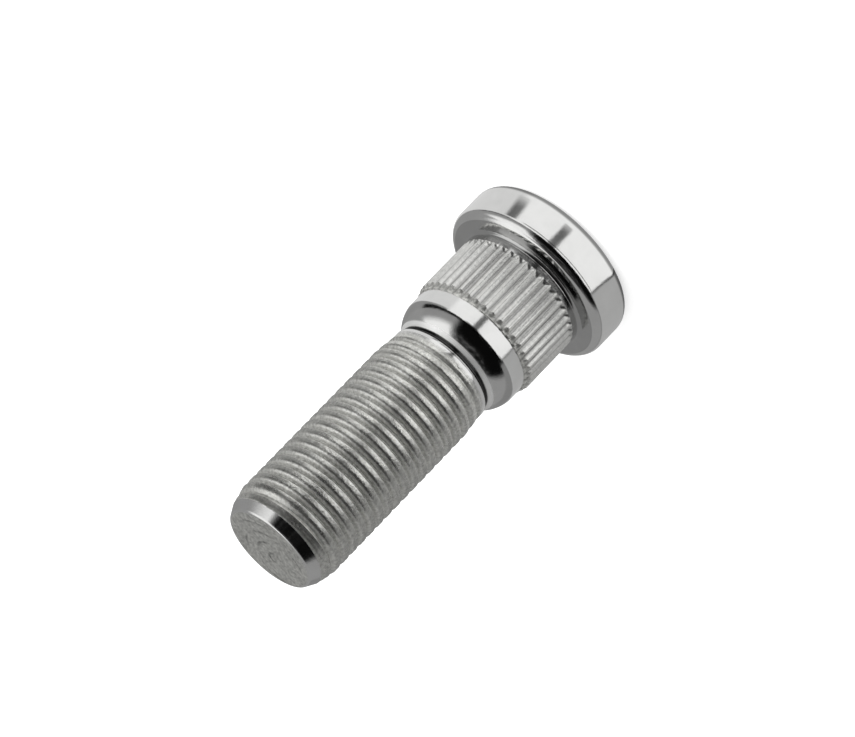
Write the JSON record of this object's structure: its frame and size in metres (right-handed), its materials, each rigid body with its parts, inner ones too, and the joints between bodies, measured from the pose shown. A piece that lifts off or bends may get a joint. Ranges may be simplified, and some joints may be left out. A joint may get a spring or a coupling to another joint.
{
  "type": "wheel stud",
  "caption": "Press-in wheel stud with a round head, a serrated shank, a plain pilot collar and a long fine right-hand thread.",
  "frame": {"origin": "centre of the head's outer face, which the stud stands on", "axes": "+Z along the stud's axis, from the head to the tip of the thread"},
  "size_m": [0.022, 0.022, 0.0505],
  "materials": {
    "zinc_plated_steel": "bright zinc plating, smooth and shiny on the head and the collar, duller and slightly grained on the rolled thread"
  },
  "bodies": {
    "root": {"wheel_stud": "zinc_plated_steel"}
  },
  "joints": []
}
